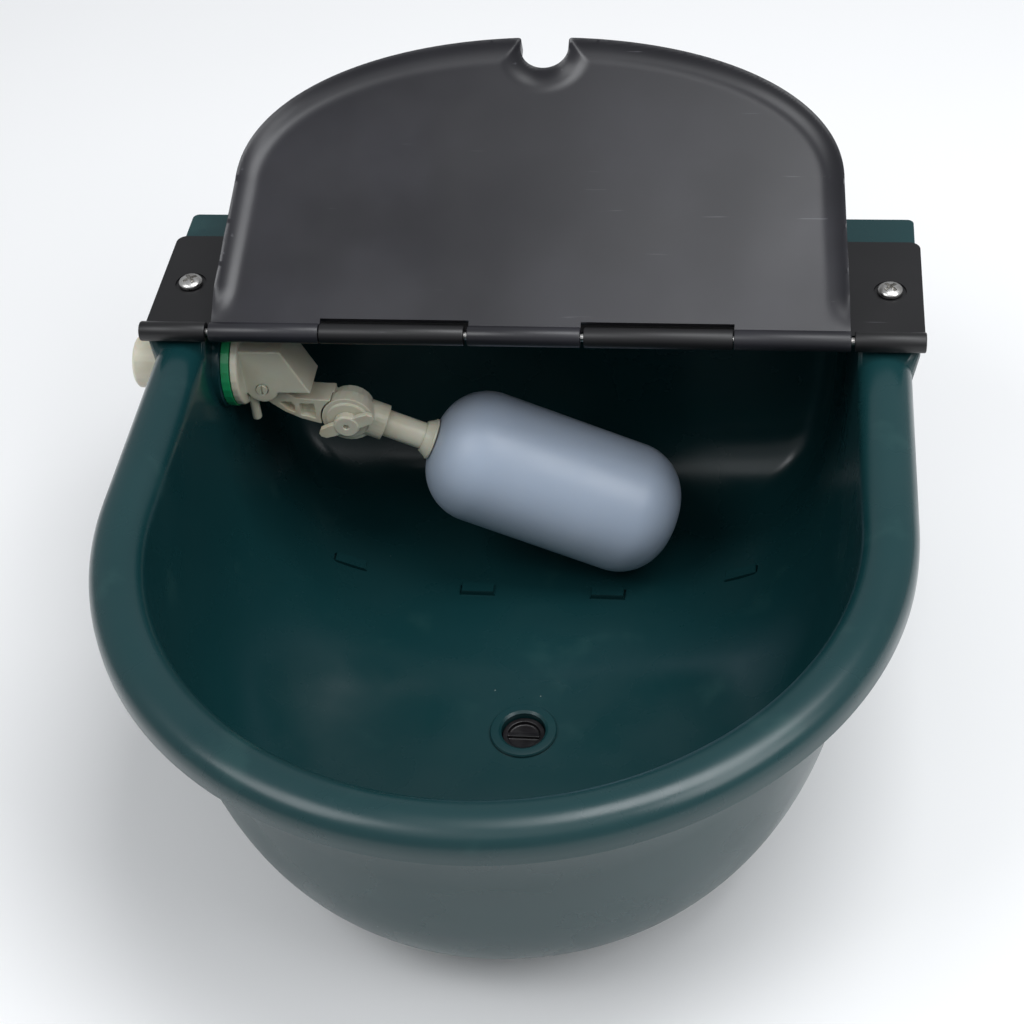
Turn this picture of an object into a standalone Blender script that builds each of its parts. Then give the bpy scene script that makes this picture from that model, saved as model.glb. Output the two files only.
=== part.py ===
"""Self-filling animal drinking bowl with a float valve: a wall-mounted U-shaped bowl, a hinged lid on a
screwed-down cover plate, a screw-in drain plug, and a float valve on the left wall.

Sizes are read from the lid's hinge axis: X to the right, Y to the wall behind, Z up. One empty holds the
whole product, so that the model's origin lies on the flat back face that goes against the wall.
"""
import math

import bmesh
import bpy
from mathutils import Matrix, Vector

MM = 0.001
GAP = 0.3 * MM

# Bowl: plan of the rim's inner edge, seen from above
INNER_HALF = 122.9 * MM
FRONT_CENTRE_Y = -84.6 * MM
BACK_Y = 72.0 * MM
BACK_CORNER = 14.0 * MM
WALL = 3.2 * MM
RIM_HALF = 142.6 * MM
DECK_HALF = 145.3 * MM
DECK_BACK_Y = 81.0 * MM
DECK_CORNER = 2.5 * MM
LEDGE_FRONT_Y = 58.0 * MM

# Bowl: heights
DECK_TOP = -4.1 * MM
DECK_THICK = 4.0 * MM
CREASE_Z = -14.4 * MM
CROWN_HEIGHT = 9.6 * MM
LIP_Z = -17.5 * MM
LIP_THICK = 2.8 * MM
FLOOR_Z = -130.0 * MM
FLOOR_THICK = 3.4 * MM
FOOT_Z = -142.5 * MM

# Bowl: how full the inside is towards the front, sides and back, and how much the walls lean in
CENTRE = Vector((0.0, -50.0 * MM))
FULL_FRONT = 6.5
FULL_SIDE = 3.1
FULL_BACK = 7.0
LEAN = 0.05
LEAN_ROUNDS = 8
FOOT_OUTER = 0.52
FOOT_INNER = 0.48
SIDE_STATIONS = [y * MM for y in (46.0, 24.0, 2.0, -3.0, -30.0, -57.0, -84.6)]
BACK_STEPS = 4
CORNER_STEPS = 3
FRONT_STEPS = 12
WALL_ROWS = 9
RIM_ROWS = 6

# Wall fixing, on the bowl's back
PAD_HALF = 95.0 * MM
PAD_TOP = -6.0 * MM
PAD_BOTTOM = -80.0 * MM
WALL_HOLE_X = 60.0 * MM
WALL_HOLE_Z = -28.0 * MM
WALL_HOLE_R = 3.5 * MM
ORIGIN = Vector((0.0, DECK_BACK_Y, -40.0 * MM))

# Small raised tabs on the floor: distance from the middle, place along the bowl, tilt
TABS = ((27.0 * MM, -6.9 * MM, 0.0), (81.5 * MM, 1.0 * MM, 23.0))
TAB_SIZE = (13.5 * MM, 4.6 * MM, 2.2 * MM)

# Drain
DRAIN_Y = -81.9 * MM
DRAIN_R = 8.65 * MM
DRAIN_RING_R = 13.0 * MM
DRAIN_RING_HEIGHT = 1.6 * MM
DRAIN_NECK_Z = -136.4 * MM
PLUG_TOP_Z = -131.4 * MM
PLUG_HEAD_Z = -138.0 * MM
PLUG_END_Z = -141.6 * MM
PLUG_HEAD_R = 12.6 * MM
PLUG_HEAD_THICK = 1.2 * MM
PLUG_GRIP_R = 5.0 * MM
PLUG_DISH_R = 6.4 * MM
PLUG_DISH_DEPTH = 1.6 * MM
PLUG_RIB = 0.9 * MM

# Cover plate, its screws, and the hinge
HINGE_HALF = 147.0 * MM
HINGE_R = 3.8 * MM
HINGE_BORE_R = 1.8 * MM
PIN_R = 1.5 * MM
SPLITS = (21.8 * MM, 77.5 * MM, 120.7 * MM)
SPLIT_GAP = 0.2 * MM
PIN_SHOWS = 0.8 * MM
PLATE_BACK_Y = 62.4 * MM
PLATE_BOTTOM = -3.8 * MM
PLATE_TOP = -1.3 * MM
PLATE_CORNER = 4.0 * MM
SCREW_X = 134.9 * MM
SCREW_Y = 31.8 * MM
SCREW_HEAD_R = 4.7 * MM
SCREW_R = 2.0 * MM
SCREW_END_Z = -11.6 * MM
BOSS_R = 5.4 * MM
BOSS_END_Z = -13.8 * MM

# Lid, in its own frame: along the lid from the hinge, and out of its face
LID_LEAN = math.radians(66.25)
LID_LENGTH = 129.0 * MM
LID_HALF = 119.8 * MM
LID_STRAIGHT = 64.0 * MM
LID_NARROWING = 0.046
LID_ROUNDNESS = 2.1
LID_THICK = 2.4 * MM
LID_SKIRT = 5.4 * MM
LID_START = 4.4 * MM
LID_STEPS = 14
NOTCH_HALF = 9.4 * MM
NOTCH_DEPTH = 14.2 * MM

# Float valve: axis of the inlet, and pieces along it
INLET_Y = 15.0 * MM
INLET_Z = -27.5 * MM
STUB_R = 10.5 * MM
STUB_END_X = -157.0 * MM
SEAT_X = -119.6 * MM
SEAT_R = 17.6 * MM
OUTER_SEAT_X = -127.4 * MM
OUTER_SEAT_R = 15.6 * MM
WASHER_X = (-119.3 * MM, -116.2 * MM)
WASHER_R = 16.9 * MM
FLANGE_X = (-115.9 * MM, -113.0 * MM)
FLANGE_R = 16.4 * MM
NOZZLE_R = 2.7 * MM
NOZZLE_LIP_X = -108.9 * MM
HOOD_HALF = 8.5 * MM
HOOD_TOP = -15.2 * MM
HOOD_BOTTOM = -35.8 * MM
HOOD_END_TOP_X = -96.7 * MM
HOOD_END_BOTTOM_X = -87.2 * MM
HOOD_WALL = 2.0 * MM
PIVOT = Vector((-106.5 * MM, 0.0, -34.2 * MM))
PIVOT_BOSS_R = 6.3 * MM
PIVOT_PIN_R = 2.25 * MM
PEG = Vector((-111.7 * MM, 10.0 * MM, -51.5 * MM))
PEG_R = 1.9 * MM
NUT_THICK = 6.0 * MM
NUT_CORNER_R = 15.0 * MM
OUTER_WASHER_R = 15.5 * MM
OUTER_WASHER_THICK = 1.8 * MM
STRAINER_R = 5.4 * MM
STRAINER_LIP_R = 6.2 * MM
STRAINER_LENGTH = 12.0 * MM
STRAINER_WALL = 0.8 * MM
CUP_R = 4.0 * MM
CUP_LIP = 110.8 * MM
CUP_FACE = 105.2 * MM
CUP_BACK = 104.2 * MM
CUP_TIP = 103.4 * MM
SEAL_THICK = 1.2 * MM

# Lever and knuckle
LEVER_HALF = 5.5 * MM
LEVER_HUB_R = 5.6 * MM
NOSE_FACE_X = -102.9 * MM
KNUCKLE = Vector((-74.7 * MM, 0.0, -51.3 * MM))
DISC_R = 10.6 * MM
DISC_FRONT_Y = 9.3 * MM
DISC_BACK_Y = 15.1 * MM
TONGUE_R = 8.8 * MM
KNUCKLE_BORE_R = 2.3 * MM
KNUCKLE_SCREW_R = 1.9 * MM

# Lever's side view in millimetres: the nose, the top edge down to the knuckle, the lower edge back
LEVER_NOSE = ((-103.4, -24.4), (-101.4, -23.6), (-100.2, -26.0))
LEVER_UPPER = ((-98.8, -37.2), (-94.5, -40.8), (-88.0, -41.4), (-80.0, -41.8))
LEVER_LOWER = ((-80.0, -55.0), (-87.0, -53.6), (-93.5, -51.4), (-99.9, -47.8), (-105.0, -43.4))
POCKET_NEAR_HUB = ((-101.5, -43.0), (-97.0, -42.6), (-95.6, -44.4), (-95.6, -48.3), (-98.6, -46.8))
POCKET_NEAR_KNUCKLE = ((-93.6, -43.6), (-87.6, -43.6), (-87.6, -51.2), (-93.6, -49.4))
POCKET_DEPTH = 3.6 * MM
FORK_HALF = 4.3 * MM

# Thumb screw: half of one wing's outline in millimetres from the screw's axis, and the wings' turn
WING_HALF = ((3.0, -2.6), (6.5, -2.8), (10.6, -2.4), (12.2, -0.8))
WING_TURN = 23.0
WING_SPAN = (5.0 * MM, 7.2 * MM)

# Float arm and float, along the arm's axis from the knuckle
ARM_ANGLE = math.radians(24.7)
SOCKET_SPAN = (9.2 * MM, 14.8 * MM)
SOCKET_R = 7.25 * MM
ROD_R = 5.45 * MM
ROD_SPAN = (10.2 * MM, 42.0 * MM)
CONE_SPAN = (31.0 * MM, 35.2 * MM)
FLOAT_START = 35.6 * MM
FLOAT_LENGTH = 104.0 * MM
FLOAT_R = 27.0 * MM
FLOAT_CORNER = 21.0 * MM
FLOAT_WALL = 1.6 * MM

GREEN = ("bowl_green", (0.008, 0.062, 0.055), 0.34, 0.0)
BLACK = ("lid_black", (0.018, 0.017, 0.020), 0.45, 0.0)
CREAM = ("valve_cream", (0.62, 0.60, 0.48), 0.40, 0.0)
FLOAT_BLUE = ("float_white", (0.50, 0.58, 0.70), 0.35, 0.0)
STEEL = ("steel", (0.62, 0.62, 0.60), 0.30, 1.0)
RUBBER = ("rubber_black", (0.02, 0.018, 0.02), 0.70, 0.0)
WASHER_GREEN = ("washer_green", (0.02, 0.34, 0.14), 0.45, 0.0)
PLUG_BROWN = ("plug_dark", (0.045, 0.028, 0.034), 0.55, 0.0)


def clear_scene():
    for old in list(bpy.data.objects):
        bpy.data.objects.remove(old, do_unlink=True)


def finish_material(spec):
    name, colour, roughness, metallic = spec
    made = bpy.data.materials.get(name)
    if made:
        return made
    made = bpy.data.materials.new(name)
    made.use_nodes = True
    shader = made.node_tree.nodes["Principled BSDF"]
    shader.inputs["Base Color"].default_value = (*colour, 1.0)
    shader.inputs["Roughness"].default_value = roughness
    shader.inputs["Metallic"].default_value = metallic
    return made


def face_out(bm):
    """Turns the faces of a closed body outwards, judged by its volume, so that thin shells come right too."""
    bmesh.ops.recalc_face_normals(bm, faces=bm.faces)
    if bm.calc_volume(signed=True) < 0:
        bmesh.ops.reverse_faces(bm, faces=bm.faces)


def add_object(name, bm, spec, parent, place=None):
    """Turns a bmesh into an object under parent, with its faces pointing out."""
    face_out(bm)
    mesh = bpy.data.meshes.new(name)
    bm.to_mesh(mesh)
    bm.free()
    mesh.shade_smooth()
    mesh.set_sharp_from_angle(angle=math.radians(35))
    made = bpy.data.objects.new(name, mesh)
    bpy.context.scene.collection.objects.link(made)
    mesh.materials.append(finish_material(spec))
    made.parent = parent
    if place is not None:
        made.matrix_basis = place
    return made


def add_empty(name, parent, place):
    made = bpy.data.objects.new(name, None)
    bpy.context.scene.collection.objects.link(made)
    made.parent = parent
    made.matrix_basis = place
    return made


def combine(target, operation, pieces):
    """Joins the pieces to the target, or cuts them out of it, as one Boolean. The pieces stay hidden."""
    bm = bmesh.new()
    for piece in pieces:
        part_mesh = bpy.data.meshes.new("piece")
        face_out(piece)
        piece.to_mesh(part_mesh)
        piece.free()
        bm.from_mesh(part_mesh)
        bpy.data.meshes.remove(part_mesh)
    tool_mesh = bpy.data.meshes.new(target.name + "_" + operation.lower())
    bm.to_mesh(tool_mesh)
    bm.free()
    tool = bpy.data.objects.new(tool_mesh.name, tool_mesh)
    bpy.context.scene.collection.objects.link(tool)
    tool.parent = target.parent
    tool.matrix_basis = target.matrix_basis
    tool.hide_render = True
    tool.display_type = "WIRE"
    cut = target.modifiers.new(operation.lower(), "BOOLEAN")
    cut.operation = operation
    cut.object = tool


def turned(profile, segments=24, place=None):
    """A closed body turned about local Z. The profile runs from axis to axis, or is a closed loop of
    (radius, height) points where no point is on the axis."""
    bm = bmesh.new()
    rings = []
    for radius, height in profile:
        if radius == 0.0:
            rings.append([bm.verts.new((0.0, 0.0, height))])
            continue
        ring = []
        for i in range(segments):
            angle = 2 * math.pi * i / segments
            ring.append(bm.verts.new((radius * math.cos(angle), radius * math.sin(angle), height)))
        rings.append(ring)
    pairs = list(zip(rings, rings[1:]))
    if len(rings[0]) > 1:
        pairs.append((rings[-1], rings[0]))
    for low, high in pairs:
        bridge(bm, low, high)
    if place is not None:
        bm.transform(place)
    return bm


def bridge(bm, low, high):
    """Faces between two rings with the same number of points, or between a ring and a single point."""
    if len(low) == 1:
        low, high = high, low
    count = len(low)
    for i in range(count):
        j = (i + 1) % count
        if len(high) == 1:
            bm.faces.new((low[i], low[j], high[0]))
        else:
            bm.faces.new((low[i], low[j], high[j], high[i]))


def prism(outline, low, high, place=None):
    """A closed outline of (x, z) points, extruded along Y from low to high."""
    bm = bmesh.new()
    front = [bm.verts.new((x, low, z)) for x, z in outline]
    back = [bm.verts.new((x, high, z)) for x, z in outline]
    bm.faces.new(front)
    bm.faces.new(back[::-1])
    bridge(bm, front, back)
    if place is not None:
        bm.transform(place)
    return bm


def block(low, high, place=None):
    outline = [(low[0], low[2]), (high[0], low[2]), (high[0], high[2]), (low[0], high[2])]
    return prism(outline, low[1], high[1], place)


def rod(radius, low, high, place, segments=20):
    return turned([(0.0, low), (radius, low), (radius, high), (0.0, high)], segments, place)


def along_x(x, y, z):
    """A frame whose local Z points out through the left wall, along -X."""
    return Matrix.Translation((x, y, z)) @ Matrix.Rotation(-math.pi / 2, 4, "Y")


def along_y(x, z):
    """A frame whose local Z points back along +Y."""
    return Matrix.Translation((x, 0.0, z)) @ Matrix.Rotation(-math.pi / 2, 4, "X")


def arc(centre, radius, start, end, steps):
    points = []
    for i in range(steps + 1):
        angle = math.radians(start + (end - start) * i / steps)
        points.append((centre[0] + radius * math.cos(angle), centre[1] + radius * math.sin(angle)))
    return points


# ---------------------------------------------------------------- bowl

def plan_curve(rear_half, front_half, back_y, corner):
    """One closed U-shaped outline, seen from above, with the same number of points for every size."""
    right = []
    for i in range(BACK_STEPS):
        right.append(((rear_half - corner) * i / BACK_STEPS, back_y))
    for i in range(CORNER_STEPS + 1):
        angle = math.pi / 2 * i / CORNER_STEPS
        x = rear_half - corner + corner * math.sin(angle)
        right.append((x, back_y - corner + corner * math.cos(angle)))
    for y in SIDE_STATIONS:
        right.append((rear_half if y > 0 else front_half, y))
    for i in range(1, FRONT_STEPS + 1):
        angle = math.pi / 2 * i / FRONT_STEPS
        right.append((front_half * math.cos(angle), FRONT_CENTRE_Y - front_half * math.sin(angle)))
    right[-1] = (0.0, right[-1][1])
    left = [(-x, y) for x, y in right[1:-1]]
    return [Vector(p) for p in right + left[::-1]]


def fullness(point):
    """The exponent of the bowl's profile towards this point of its outline."""
    way = (point - CENTRE).normalized()
    end = FULL_FRONT if way.y < 0 else FULL_BACK
    return FULL_SIDE + (end - FULL_SIDE) * way.y ** 2


def lean(point):
    way = (point - CENTRE).normalized()
    return LEAN * (1.0 - max(way.y, 0.0) ** 2)


def bowl_point(point, reach, bottom_z):
    """A point of the bowl's surface, at this share of the way from the centre to the outline."""
    power = fullness(point)
    depth = (1.0 - min(reach, 1.0) ** power) ** (1.0 / power)
    flat = CENTRE + (point - CENTRE) * reach * (1.0 - lean(point) * depth)
    return Vector((flat.x, flat.y, CREASE_Z + (bottom_z - CREASE_Z) * depth))


def wall_row(outline, share, bottom_z):
    """Points down the wall: share 0 is at the crease and 1 is at the middle of the floor."""
    row = []
    for point in outline:
        power = fullness(point)
        reach = max(math.cos(share * math.pi / 2), 0.0) ** (2.0 / power)
        row.append(bowl_point(point, reach, bottom_z))
    return row


def rim_rows(inner, outer):
    """Rows over the rolled rim, from its inner crease out, and back underneath. Behind the hinge the
    same rows make the flat deck."""
    shape = []
    for i in range(RIM_ROWS + 1):
        angle = math.pi * i / RIM_ROWS
        rise = CROWN_HEIGHT * math.sin(angle) ** 0.8
        shape.append((0.5 - 0.5 * math.cos(angle), CREASE_Z + rise, DECK_TOP))
    deck_low = DECK_TOP - DECK_THICK
    width = RIM_HALF - INNER_HALF
    shape.append((1.0, LIP_Z, deck_low))
    shape.append((1.0 - LIP_THICK / width, LIP_Z, deck_low))
    shape.append((0.80, CREASE_Z + 1.6 * MM, deck_low))
    shape.append((0.50, CREASE_Z + CROWN_HEIGHT - LIP_THICK, deck_low))
    shape.append((WALL / width, CREASE_Z - 1.0 * MM, deck_low))
    rows = []
    for share, rim_z, deck_z in shape:
        row = []
        for a, b in zip(inner, outer):
            flat = a + (b - a) * share
            row.append(Vector((flat.x, flat.y, deck_z if a.y > 0 else rim_z)))
        rows.append(row)
    return rows


def bowl_shell():
    inner = plan_curve(INNER_HALF, INNER_HALF, BACK_Y, BACK_CORNER)
    rim = plan_curve(DECK_HALF, RIM_HALF, DECK_BACK_Y, DECK_CORNER)
    outside = INNER_HALF + WALL
    outer = plan_curve(outside, outside, BACK_Y + WALL, BACK_CORNER + WALL)
    under_z = FLOOR_Z - FLOOR_THICK
    rows = []
    for i in range(WALL_ROWS - 1, 0, -1):
        rows.append(wall_row(inner, i / WALL_ROWS, FLOOR_Z))
    rows += rim_rows(inner, rim)
    foot_share = 2 / math.pi * math.acos(FOOT_OUTER ** (FULL_SIDE / 2))
    for i in range(1, WALL_ROWS):
        share = foot_share * i / WALL_ROWS
        rows.append(wall_row(outer, share, under_z))
    for reach, level in ((FOOT_OUTER, None), (FOOT_OUTER, FOOT_Z), (FOOT_INNER, FOOT_Z), (FOOT_INNER, None)):
        row = [bowl_point(p, reach, under_z) for p in outer]
        if level is not None:
            row = [Vector((v.x, v.y, level)) for v in row]
        rows.append(row)
    rows.append([bowl_point(p, FOOT_INNER / 2, under_z) for p in outer])
    bm = bmesh.new()
    rings = [[bm.verts.new(v) for v in row] for row in rows]
    for low, high in zip(rings, rings[1:]):
        bridge(bm, low, high)
    for ring, z in ((rings[0], FLOOR_Z), (rings[-1], under_z)):
        bridge(bm, ring, [bm.verts.new((CENTRE.x, CENTRE.y, z))])
    bmesh.ops.triangulate(bm, faces=bm.faces)
    return bm


def floor_height(x, y):
    """Height of the inside floor at a point, found along the way out from the centre. The walls' lean depends
    on the depth, so the two are settled together in a few rounds."""
    outline = plan_curve(INNER_HALF, INNER_HALF, BACK_Y, BACK_CORNER)
    way = Vector((x, y)) - CENTRE
    nearest = max(outline, key=lambda p: (p - CENTRE).normalized().dot(way.normalized()))
    power = fullness(nearest)
    share = way.length / (nearest - CENTRE).length
    depth = 1.0
    for _ in range(LEAN_ROUNDS):
        reach = share / (1.0 - lean(nearest) * depth)
        depth = (1.0 - reach ** power) ** (1.0 / power)
    return CREASE_Z + (FLOOR_Z - CREASE_Z) * depth


def floor_tabs():
    tabs = []
    for x, y, tilt in TABS:
        for side in (-1, 1):
            place = Matrix.Translation((side * x, y, floor_height(x, y) + TAB_SIZE[2] / 4))
            place = place @ Matrix.Rotation(math.radians(-side * tilt), 4, "Y")
            half = [s / 2 for s in TAB_SIZE]
            tabs.append(block([-h for h in half], half, place))
    return tabs


def make_bowl(root):
    bowl = add_object("bowl", bowl_shell(), GREEN, root)
    drain = Matrix.Translation((0.0, DRAIN_Y, 0.0))
    joined = floor_tabs()
    joined.append(rod(DRAIN_RING_R, DRAIN_NECK_Z, FLOOR_Z + DRAIN_RING_HEIGHT, drain, 32))
    joined.append(block((-PAD_HALF, BACK_Y + WALL / 2, PAD_BOTTOM), (PAD_HALF, DECK_BACK_Y, PAD_TOP)))
    ledge_half = INNER_HALF + 1 * MM
    ledge_low = DECK_TOP - DECK_THICK + 0.05 * MM
    ledge_high = DECK_TOP - 0.05 * MM
    joined.append(block((-ledge_half, LEDGE_FRONT_Y, ledge_low), (ledge_half, BACK_Y + 1 * MM, ledge_high)))
    inlet = along_x(0.0, INLET_Y, INLET_Z)
    step = INNER_HALF + WALL / 2
    seat = [(0.0, -SEAT_X), (SEAT_R, -SEAT_X), (SEAT_R, step), (OUTER_SEAT_R, step)]
    seat += [(OUTER_SEAT_R, -OUTER_SEAT_X), (0.0, -OUTER_SEAT_X)]
    joined.append(turned(seat, 32, inlet))
    for side in (-1, 1):
        post = Matrix.Translation((side * SCREW_X, SCREW_Y, 0.0))
        joined.append(rod(BOSS_R, BOSS_END_Z, DECK_TOP - DECK_THICK / 2, post))
    combine(bowl, "UNION", joined)
    cuts = [rod(DRAIN_R, DRAIN_NECK_Z - 5 * MM, FLOOR_Z + 10 * MM, drain, 32)]
    cuts.append(rod(STUB_R + GAP, 110 * MM, 140 * MM, inlet, 32))
    for side in (-1, 1):
        post = Matrix.Translation((side * SCREW_X, SCREW_Y, 0.0))
        cuts.append(rod(SCREW_R + GAP, SCREW_END_Z - 1 * MM, DECK_TOP + 5 * MM, post, 16))
        hole = along_y(side * WALL_HOLE_X, WALL_HOLE_Z)
        cuts.append(rod(WALL_HOLE_R, BACK_Y - 5 * MM, DECK_BACK_Y + 5 * MM, hole))
    combine(bowl, "DIFFERENCE", cuts)


# ---------------------------------------------------------------- cover plate and hinge

def knuckle_span(first, last):
    """Both ends of a hinge knuckle between two splits. The gaps at the first and last split are wider, and
    the steel pin shows in them."""
    wide = (SPLITS[0], SPLITS[2])
    low = first + (PIN_SHOWS if abs(first) in wide else SPLIT_GAP) * 0.8
    high = last - (PIN_SHOWS if abs(last) in wide else SPLIT_GAP) * 0.8
    return low, high


def plate_outline():
    """Outline of the cover plate seen from above, with room for the lid's knuckles in its front edge."""
    front = HINGE_R + 1.2 * MM
    right = [(SPLITS[0] + PIN_SHOWS, front), (SPLITS[0] + PIN_SHOWS, 0.0)]
    right += [(SPLITS[1] - SPLIT_GAP, 0.0), (SPLITS[1] - SPLIT_GAP, front)]
    right.append((SPLITS[2] + PIN_SHOWS, front))
    right += [(SPLITS[2] + PIN_SHOWS, 0.0), (HINGE_HALF, 0.0)]
    corner = (HINGE_HALF - PLATE_CORNER, PLATE_BACK_Y - PLATE_CORNER)
    right += arc(corner, PLATE_CORNER, 0, 90, 4)
    return right + [(-x, y) for x, y in reversed(right)]


def make_cover_plate(root):
    flat = Matrix.Rotation(-math.pi / 2, 4, "X")
    outline = [(x, -y) for x, y in plate_outline()]
    plate = add_object("cover_plate", prism(outline, PLATE_BOTTOM, PLATE_TOP, flat.inverted()), BLACK, root)
    knuckles = []
    for side in (-1, 1):
        for start, end in ((SPLITS[0], SPLITS[1]), (SPLITS[2], HINGE_HALF + SPLIT_GAP)):
            first, last = knuckle_span(*sorted((side * start, side * end)))
            knuckles.append(rod(HINGE_R, first, last, Matrix.Rotation(math.pi / 2, 4, "Y")))
    combine(plate, "UNION", knuckles)
    cuts = [rod(HINGE_BORE_R, -150 * MM, 150 * MM, Matrix.Rotation(math.pi / 2, 4, "Y"), 16)]
    for side in (-1, 1):
        post = Matrix.Translation((side * SCREW_X, SCREW_Y, 0.0))
        step = [(0.0, -10 * MM), (SCREW_R + GAP, -10 * MM), (SCREW_R + GAP, PLATE_TOP - 0.6 * MM)]
        step += [(6.4 * MM, PLATE_TOP - 0.6 * MM), (6.4 * MM, 5 * MM), (0.0, 5 * MM)]
        cuts.append(turned(step, 24, post))
    combine(plate, "DIFFERENCE", cuts)


def make_screws(root):
    seat = PLATE_TOP - 0.6 * MM + GAP
    for name, side in (("screw_left", -1), ("screw_right", 1)):
        place = Matrix.Translation((side * SCREW_X, SCREW_Y, seat))
        end = SCREW_END_Z - seat
        profile = [(0.0, end), (SCREW_R * 0.5, end), (SCREW_R, end + 1.5 * MM), (SCREW_R, 0.0)]
        profile += [(SCREW_HEAD_R, 0.0), (SCREW_HEAD_R, 0.9 * MM), (SCREW_HEAD_R * 0.85, 1.9 * MM)]
        profile += [(SCREW_HEAD_R * 0.5, 2.5 * MM), (0.0, 2.7 * MM)]
        screw = add_object(name, turned(profile, 24), STEEL, root, place)
        arm = 2.4 * MM
        half = 0.5 * MM
        slots = [block((-arm, -half, 1.4 * MM), (arm, half, 4 * MM))]
        slots.append(block((-half, -arm, 1.4 * MM), (half, arm, 4 * MM)))
        for slot in slots:
            combine(screw, "DIFFERENCE", [slot])


def make_hinge_pin(root):
    bevel = 0.4 * MM
    half = HINGE_HALF - 0.3 * MM
    profile = [(0.0, -half), (PIN_R - bevel, -half), (PIN_R, -half + bevel)]
    profile += [(PIN_R, half - bevel), (PIN_R - bevel, half), (0.0, half)]
    add_object("hinge_pin", turned(profile, 16), STEEL, root, Matrix.Rotation(math.pi / 2, 4, "Y"))


# ---------------------------------------------------------------- lid

def lid_side(inset):
    """Right half of the lid's outline beyond the hinge: a straight narrowing side, then a rounded end."""
    width = LID_HALF - inset - LID_NARROWING * LID_STRAIGHT
    side = [(width, LID_STRAIGHT)]
    rise = LID_LENGTH - LID_STRAIGHT - inset
    for i in range(1, LID_STEPS):
        angle = math.pi / 2 * i / LID_STEPS
        x = width * math.cos(angle) ** (2 / LID_ROUNDNESS)
        side.append((x, LID_STRAIGHT + rise * math.sin(angle) ** (2 / LID_ROUNDNESS)))
    return side + [(0.0, LID_LENGTH - inset)]


def mirrored(right):
    """Closes a right half outline, whose last point is on the middle line, with its mirror image."""
    return right + [(-x, y) for x, y in reversed(right[:-1])]


def lid_outline():
    """Outline of the lid's panel, with its three hinge tabs and the cut-outs over the plate's knuckles."""
    room = HINGE_R + 2.0 * MM
    right = [(SPLITS[0] - PIN_SHOWS, 0.0), (SPLITS[0] - PIN_SHOWS, room)]
    right += [(SPLITS[1] + SPLIT_GAP, room), (SPLITS[1] + SPLIT_GAP, 0.0)]
    right += [(LID_HALF, 0.0), (LID_HALF, LID_START)]
    return mirrored(right + lid_side(0.0))


def tray_outline():
    """Outline of the hollow side of the lid. It leaves a skirt round the edge, except at the hinge."""
    wide = LID_HALF + 5 * MM
    right = [(wide, -10 * MM), (wide, LID_START + 1.5 * MM)]
    right.append((LID_HALF - LID_THICK - LID_NARROWING * 2 * LID_START, 2 * LID_START + 2 * MM))
    return mirrored(right + lid_side(LID_THICK))


def make_lid(hinge):
    """The lid lies in the XZ plane of its own frame, with its tray side facing -Y."""
    half = LID_THICK / 2
    lid = add_object("lid", prism(lid_outline(), -LID_SKIRT, half), BLACK, hinge)
    combine(lid, "DIFFERENCE", [prism(tray_outline(), -LID_SKIRT - 5 * MM, -half)])
    turn = Matrix.Rotation(math.pi / 2, 4, "Y")
    spans = ((-SPLITS[0], SPLITS[0]), (SPLITS[1], SPLITS[2]), (-SPLITS[2], -SPLITS[1]))
    combine(lid, "UNION", [rod(HINGE_R, *knuckle_span(start, end), turn) for start, end in spans])
    combine(lid, "DIFFERENCE", [rod(HINGE_BORE_R, -150 * MM, 150 * MM, turn, 16)])
    top = LID_LENGTH - NOTCH_DEPTH + NOTCH_HALF
    slot = arc((0.0, top), NOTCH_HALF, 180, 360, 10)
    slot += [(NOTCH_HALF, LID_LENGTH + 10 * MM), (-NOTCH_HALF, LID_LENGTH + 10 * MM)]
    combine(lid, "DIFFERENCE", [prism(slot, -20 * MM, 20 * MM)])


# ---------------------------------------------------------------- drain

def make_drain(root):
    place = Matrix.Translation((0.0, DRAIN_Y, 0.0))
    hole = DRAIN_R - GAP
    head_low = PLUG_HEAD_Z - PLUG_HEAD_THICK
    dish = PLUG_TOP_Z - PLUG_DISH_DEPTH
    profile = [(0.0, PLUG_END_Z), (PLUG_GRIP_R * 0.9, PLUG_END_Z), (PLUG_GRIP_R, head_low)]
    profile += [(PLUG_HEAD_R, head_low), (PLUG_HEAD_R, PLUG_HEAD_Z), (hole, PLUG_HEAD_Z)]
    profile += [(hole, PLUG_TOP_Z), (PLUG_DISH_R, PLUG_TOP_Z), (PLUG_DISH_R * 0.96, dish), (0.0, dish)]
    plug = add_object("drain_plug", turned(profile, 32), PLUG_BROWN, root, place)
    low, high = dish - 0.4 * MM, PLUG_TOP_Z - GAP
    rib = block((-PLUG_DISH_R, -PLUG_RIB, low), (PLUG_DISH_R, PLUG_RIB, high))
    combine(plug, "UNION", [rib])
    ring = [(DRAIN_R + GAP, PLUG_HEAD_Z + GAP), (PLUG_HEAD_R - 0.6 * MM, PLUG_HEAD_Z + GAP)]
    ring += [(PLUG_HEAD_R - 0.6 * MM, DRAIN_NECK_Z - GAP), (DRAIN_R + GAP, DRAIN_NECK_Z - GAP)]
    add_object("drain_seal", turned(ring, 32), RUBBER, root, place)


# ---------------------------------------------------------------- float valve

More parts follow.
